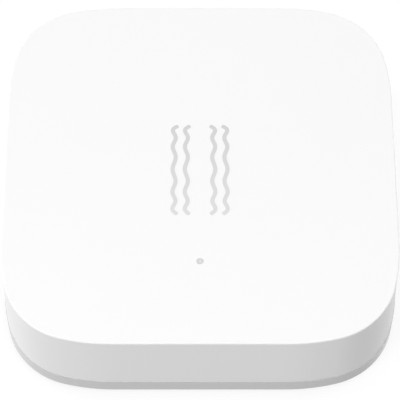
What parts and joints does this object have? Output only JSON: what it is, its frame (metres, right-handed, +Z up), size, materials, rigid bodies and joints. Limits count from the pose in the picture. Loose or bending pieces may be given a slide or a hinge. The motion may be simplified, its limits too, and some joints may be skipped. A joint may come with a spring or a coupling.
{
  "type": "vibration sensor tag",
  "caption": "Small rounded-square stick-on vibration sensor with a clip-on shell, pinhole status light, side button and coin cell.",
  "frame": {"origin": "middle of the adhesive pad's underside", "axes": "+Z up out of the top face, -Y towards the front, the side nearer the status light, +X to the right"},
  "size_m": [0.043, 0.043, 0.0112],
  "materials": {
    "white_shell": "fine satin moulding, white",
    "base_plastic": "fine satin moulding, pale grey white",
    "button_plastic": "satin, white",
    "clear_plastic": "clear, polished",
    "foam_tape": "soft closed-cell foam with adhesive skin",
    "board_laminate": "solder-masked glass laminate, green",
    "black_plastic": "matt black, glass filled",
    "stem_plastic": "satin black",
    "chip_resin": "matt moulding resin",
    "capacitor_ceramic": "tan ceramic with tinned ends",
    "resistor_ceramic": "black glaze with tinned ends",
    "led_body": "milky resin",
    "gold_plate": "gold-plated copper, bright",
    "tinned_metal": "tinned, satin",
    "can_metal": "satin nickel",
    "spring_steel": "bright spring strip",
    "cell_steel": "nickel-plated, fine brushed",
    "cell_seal": "dark polypropylene",
    "cell_pellet": "pressed dark powder"
  },
  "bodies": {
    "base": {"base_cover": "base_plastic", "adhesive_pad": "foam_tape"},
    "housing": {"top_shell": "white_shell", "light_pipe": "clear_plastic", "status_led": "led_body", "switch_body": "black_plastic", "switch_cover": "spring_steel", "circuit_board": "board_laminate", "radio_chip": "chip_resin", "motion_chip": "chip_resin", "memory_chip": "chip_resin", "memory_leads": "tinned_metal", "crystal": "can_metal", "capacitors": "capacitor_ceramic", "resistors": "resistor_ceramic", "antenna_trace": "gold_plate", "test_pads": "gold_plate", "battery_holder": "black_plastic", "positive_contact": "spring_steel", "negative_contact": "spring_steel", "cell_can": "cell_steel", "cell_gasket": "cell_seal", "cell_cap": "cell_steel", "cell_core": "cell_pellet"},
    "button": {"reset_button": "button_plastic", "switch_stem": "stem_plastic"}
  },
  "joints": [
    {"name": "cover_lift", "type": "slide", "parent": "base", "child": "housing", "axis": [0, 0, 1], "range_m": [0, 0.02]},
    {"name": "button_press", "type": "slide", "parent": "housing", "child": "button", "axis": [0, -1, 0], "range_m": [0, 0.0003], "stiffness_N_per_m": 3000, "springref_m": -0.0003}
  ]
}
